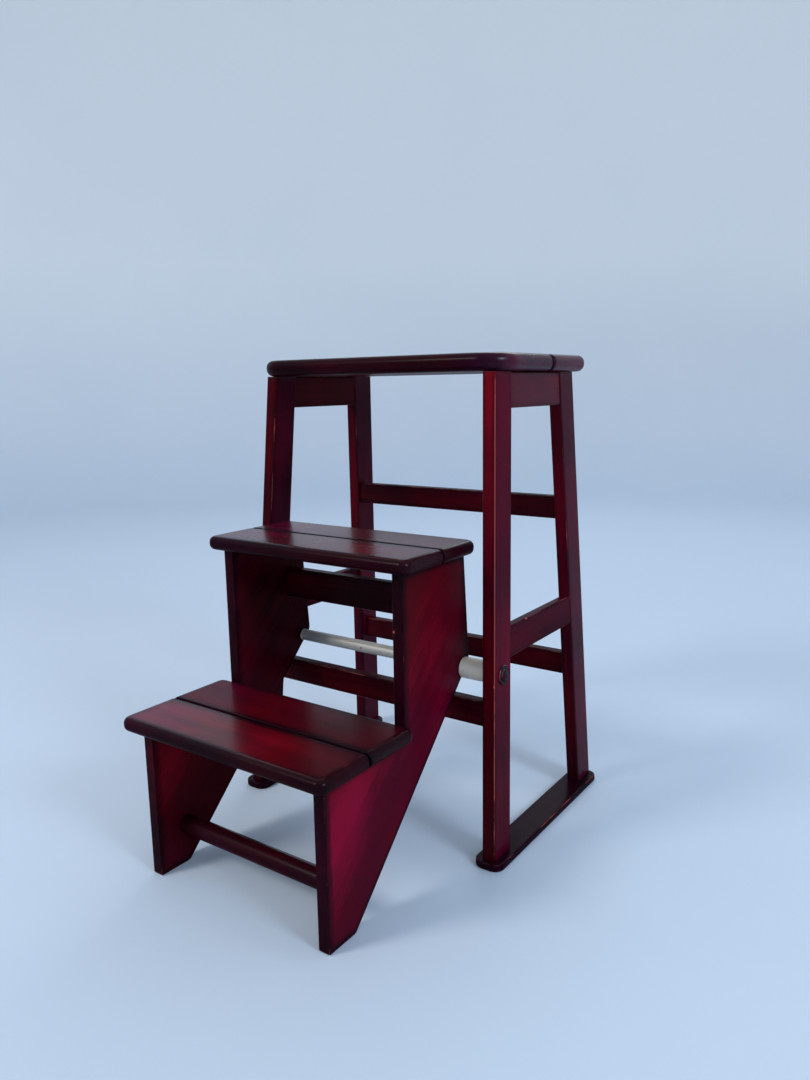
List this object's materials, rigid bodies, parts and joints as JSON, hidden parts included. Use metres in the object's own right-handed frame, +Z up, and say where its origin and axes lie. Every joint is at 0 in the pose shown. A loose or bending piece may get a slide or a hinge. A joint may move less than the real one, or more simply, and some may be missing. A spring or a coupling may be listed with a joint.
{
  "type": "folding step stool",
  "caption": "Wooden stool with a flat seat and a step unit that swings out from between its front legs on a cross tube.",
  "frame": {"origin": "on the floor, below the middle of the open stool's outer box", "axes": "+Z up, -Y towards the steps, +X to the right of a person who climbs them"},
  "size_m": [0.4386, 0.5632, 0.63],
  "materials": {
    "stained_wood": "dark red-brown stain under a half-gloss lacquer",
    "plain_wood": "bare beech",
    "aluminium": "drawn, with a fine lengthwise grain",
    "zinc_steel": "zinc plated"
  },
  "bodies": {
    "seat_frame": {"seat_front_board": "stained_wood", "seat_rear_board": "stained_wood", "front_leg_left": "stained_wood", "front_leg_right": "stained_wood", "rear_leg_left": "stained_wood", "rear_leg_right": "stained_wood", "seat_apron_left": "stained_wood", "seat_apron_right": "stained_wood", "side_stretcher_left": "stained_wood", "side_stretcher_right": "stained_wood", "front_stop_rail": "stained_wood", "back_rail_upper": "stained_wood", "back_rail_lower": "stained_wood", "runner_left": "stained_wood", "runner_right": "stained_wood", "leg_button_left": "stained_wood", "leg_button_right": "stained_wood", "front_leg_dowel_left": "plain_wood", "front_leg_dowel_right": "plain_wood", "rear_leg_dowel_left": "plain_wood", "rear_leg_dowel_right": "plain_wood", "pivot_tube": "aluminium", "spacer_left": "aluminium", "spacer_right": "aluminium", "pivot_rod": "zinc_steel", "pivot_washer_left": "zinc_steel", "pivot_washer_right": "zinc_steel", "pivot_nut_left": "zinc_steel", "pivot_nut_right": "zinc_steel", "seat_screw_front_left": "zinc_steel", "seat_screw_front_right": "zinc_steel", "seat_screw_rear_left": "zinc_steel", "seat_screw_rear_right": "zinc_steel", "runner_screw_front_left": "zinc_steel", "runner_screw_front_right": "zinc_steel", "runner_screw_rear_left": "zinc_steel", "runner_screw_rear_right": "zinc_steel"},
    "step_unit": {"step_panel_left": "stained_wood", "step_panel_right": "stained_wood", "lower_tread_front_board": "stained_wood", "lower_tread_rear_board": "stained_wood", "upper_tread_front_board": "stained_wood", "upper_tread_rear_board": "stained_wood", "step_cross_rail": "stained_wood", "step_foot_bar": "stained_wood", "lower_tread_front_dowel_left": "plain_wood", "lower_tread_front_dowel_right": "plain_wood", "lower_tread_rear_dowel_left": "plain_wood", "lower_tread_rear_dowel_right": "plain_wood", "upper_tread_front_dowel_left": "plain_wood", "upper_tread_front_dowel_right": "plain_wood", "upper_tread_rear_dowel_left": "plain_wood", "upper_tread_rear_dowel_right": "plain_wood"}
  },
  "joints": [
    {"name": "step_fold", "type": "hinge", "parent": "seat_frame", "child": "step_unit", "pos_m": [0, 0.0164, 0.24], "axis": [-1, 0, 0], "range_deg": [0, 141]}
  ]
}
